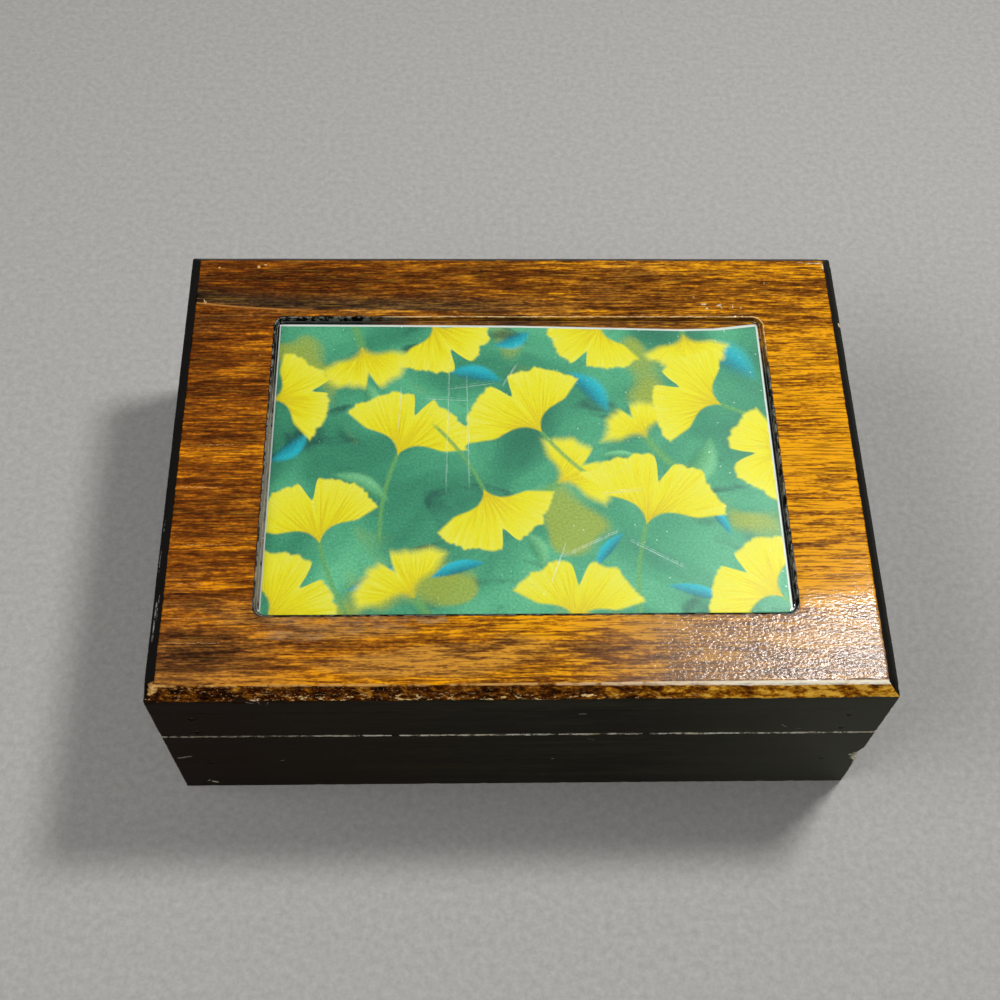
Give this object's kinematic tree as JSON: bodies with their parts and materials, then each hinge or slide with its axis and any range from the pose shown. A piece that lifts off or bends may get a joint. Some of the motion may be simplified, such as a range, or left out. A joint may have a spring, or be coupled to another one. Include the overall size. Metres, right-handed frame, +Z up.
{
  "type": "trinket box",
  "caption": "Rectangular hinged wooden box with a bevelled lid board that carries a photo print under a clear cover, for small keepsakes.",
  "frame": {"origin": "centre of the box's footprint on its underside", "axes": "+X to the right along the width, +Y from the front to the hinged back, +Z up"},
  "size_m": [0.21, 0.155, 0.0755],
  "materials": {
    "varnished_board_wood": "gloss varnish over brown stain",
    "dark_stained_wood": "black-brown stain, semi-gloss",
    "bottom_panel_wood": "sanded, unfinished",
    "lining_felt": "felt",
    "brad_steel": "darkened by stain",
    "print_paper": "glossy photo paper",
    "clear_cover": "clear acrylic, lightly scratched",
    "hinge_brass": "dulled",
    "screw_brass": "dulled"
  },
  "bodies": {
    "base": {"base_front_wall": "dark_stained_wood", "base_back_wall": "dark_stained_wood", "base_left_wall": "dark_stained_wood", "base_right_wall": "dark_stained_wood", "base_bottom_panel": "bottom_panel_wood", "base_felt_lining": "lining_felt", "base_corner_brads": "brad_steel", "left_hinge_base_leaf": "hinge_brass", "left_hinge_pin": "hinge_brass", "left_hinge_base_screws": "screw_brass", "right_hinge_base_leaf": "hinge_brass", "right_hinge_pin": "hinge_brass", "right_hinge_base_screws": "screw_brass"},
    "lid": {"lid_front_rail": "dark_stained_wood", "lid_back_rail": "dark_stained_wood", "lid_left_rail": "dark_stained_wood", "lid_right_rail": "dark_stained_wood", "lid_top_board": "varnished_board_wood", "lid_felt_lining": "lining_felt", "lid_corner_brads": "brad_steel", "picture_print": "print_paper", "picture_cover": "clear_cover", "left_hinge_lid_leaf": "hinge_brass", "left_hinge_lid_screws": "screw_brass", "right_hinge_lid_leaf": "hinge_brass", "right_hinge_lid_screws": "screw_brass"}
  },
  "joints": [
    {"name": "lid_hinge", "type": "hinge", "parent": "base", "child": "lid", "pos_m": [0, 0.0749, 0.0447], "axis": [-1, 0, 0], "range_deg": [0, 105]}
  ]
}
